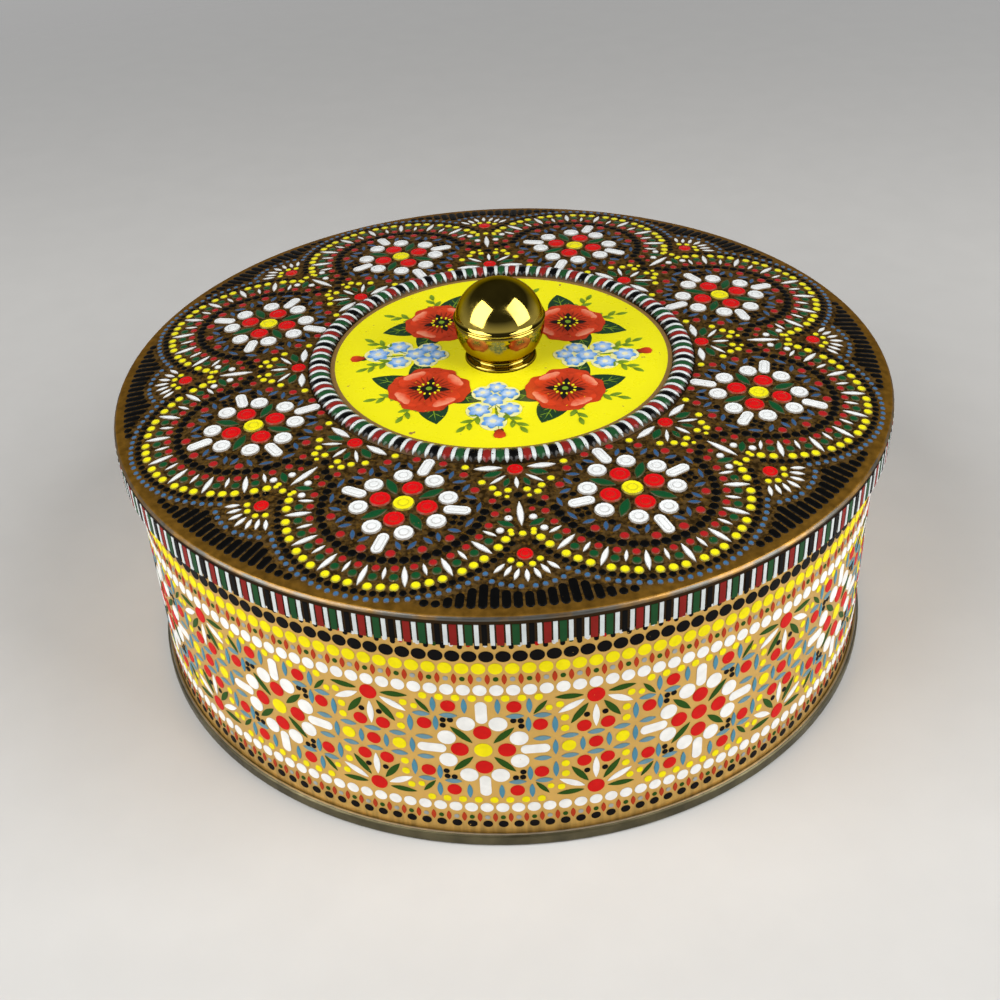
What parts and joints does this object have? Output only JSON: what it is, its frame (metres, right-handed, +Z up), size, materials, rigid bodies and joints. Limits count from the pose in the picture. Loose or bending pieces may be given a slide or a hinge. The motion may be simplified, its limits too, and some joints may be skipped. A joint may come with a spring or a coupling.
{
  "type": "decorated tin",
  "caption": "Low round tinplate box with a domed lift-off lid, a raised rope ring round the lid's centre panel and a brass ball knob, decorated with a mosaic of dots and rosettes.",
  "frame": {"origin": "on the floor, under the middle of the base", "axes": "+Z up along the tin's axis; -Y is the side that faces the picture's camera, and the wall's lock seam is at +Y"},
  "size_m": [0.1902, 0.1902, 0.0927],
  "materials": {
    "wall_lacquer": "golden tan lacquer on tinplate, printed with a flat mosaic",
    "lid_lacquer": "bronze lacquer on tinplate, printed and embossed with a mosaic",
    "bare_tin": "bare tinplate, slightly dull",
    "brass": "polished",
    "steel": "zinc plated"
  },
  "bodies": {
    "tin": {"body_wall": "wall_lacquer", "base_disc": "bare_tin"},
    "lid": {"lid_shell": "lid_lacquer", "knob_cap": "brass", "knob_cup": "brass", "knob_collar": "brass", "knob_stud": "steel", "lid_washer": "steel", "lid_nut": "steel"}
  },
  "joints": [
    {"name": "lid_lift", "type": "slide", "parent": "tin", "child": "lid", "axis": [0, 0, 1], "range_m": [0, 0.08]}
  ]
}
